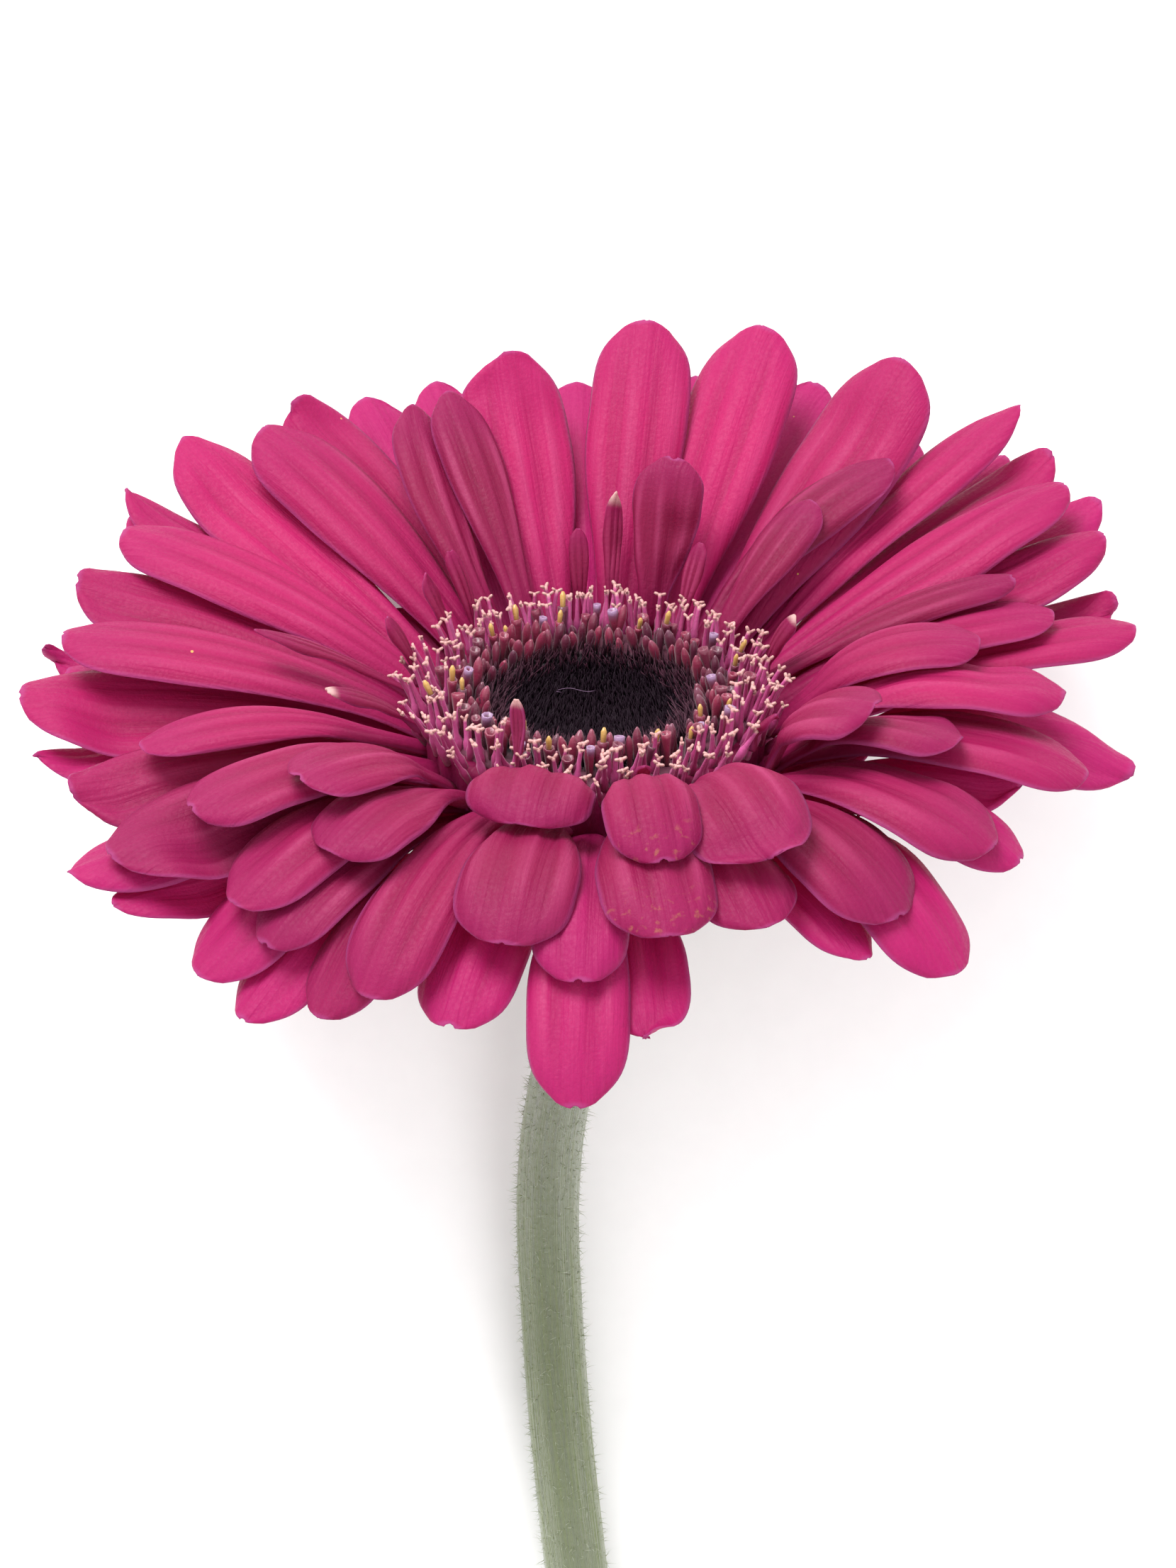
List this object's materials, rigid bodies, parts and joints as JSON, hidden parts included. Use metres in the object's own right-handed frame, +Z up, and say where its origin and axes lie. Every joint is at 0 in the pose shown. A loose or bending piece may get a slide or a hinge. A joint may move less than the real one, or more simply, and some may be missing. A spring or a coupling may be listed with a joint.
{
  "type": "cut gerbera",
  "caption": "Single cut gerbera flower lying on its outer petals and its long green stem, with broad magenta petals in layers around a pink-tipped disc with a dark centre.",
  "frame": {"origin": "centre of the bottom of the bounding box, on the surface that the flower lies on", "axes": "+Z up; the stem lies along -Y and the flower head is at the +Y end, leaning back so that its face looks up and towards +Y; +X is to the right seen from above with the head away from the viewer"},
  "size_m": [0.1074, 0.3526, 0.0597],
  "materials": {
    "ray_petal": "velvety petal with fine lengthwise veins, magenta to deep rose",
    "outer_petal": "velvety petal, brighter rose where light passes through it",
    "disc_florets": "crowded small florets, maroon buds and pink styles with cream tips",
    "disc_heart": "unopened buds and bristles, almost black purple",
    "bracts": "matte green bracts with fine hairs",
    "stem": "green stem under a whitish fuzz, denser near the head"
  },
  "bodies": {
    "root": {"disc_florets": "disc_florets", "disc_heart": "disc_heart", "inner_ray_01": "ray_petal", "inner_ray_02": "ray_petal", "inner_ray_03": "ray_petal", "inner_ray_04": "ray_petal", "inner_ray_05": "ray_petal", "inner_ray_06": "ray_petal", "inner_ray_07": "ray_petal", "inner_ray_08": "ray_petal", "inner_ray_09": "ray_petal", "inner_ray_10": "ray_petal", "inner_ray_11": "ray_petal", "inner_ray_12": "ray_petal", "involucre": "bracts", "main_ray_01": "ray_petal", "main_ray_02": "ray_petal", "main_ray_03": "ray_petal", "main_ray_04": "ray_petal", "main_ray_05": "ray_petal", "main_ray_06": "ray_petal", "main_ray_07": "ray_petal", "main_ray_08": "ray_petal", "main_ray_09": "ray_petal", "main_ray_10": "ray_petal", "main_ray_11": "ray_petal", "main_ray_12": "ray_petal", "main_ray_13": "ray_petal", "main_ray_14": "ray_petal", "main_ray_15": "ray_petal", "main_ray_16": "ray_petal", "main_ray_17": "ray_petal", "main_ray_18": "ray_petal", "main_ray_19": "ray_petal", "main_ray_20": "ray_petal", "main_ray_21": "ray_petal", "main_ray_22": "ray_petal", "main_ray_23": "ray_petal", "main_ray_24": "ray_petal", "main_ray_25": "ray_petal", "main_ray_26": "ray_petal", "main_ray_27": "ray_petal", "main_ray_28": "ray_petal", "main_ray_29": "ray_petal", "main_ray_30": "ray_petal", "outer_ray_01": "outer_petal", "outer_ray_02": "outer_petal", "outer_ray_03": "outer_petal", "outer_ray_04": "outer_petal", "outer_ray_05": "outer_petal", "outer_ray_06": "outer_petal", "outer_ray_07": "outer_petal", "outer_ray_08": "outer_petal", "outer_ray_09": "outer_petal", "outer_ray_10": "outer_petal", "outer_ray_11": "outer_petal", "outer_ray_12": "outer_petal", "short_rays": "ray_petal", "stem": "stem", "under_rays": "outer_petal"}
  },
  "joints": []
}
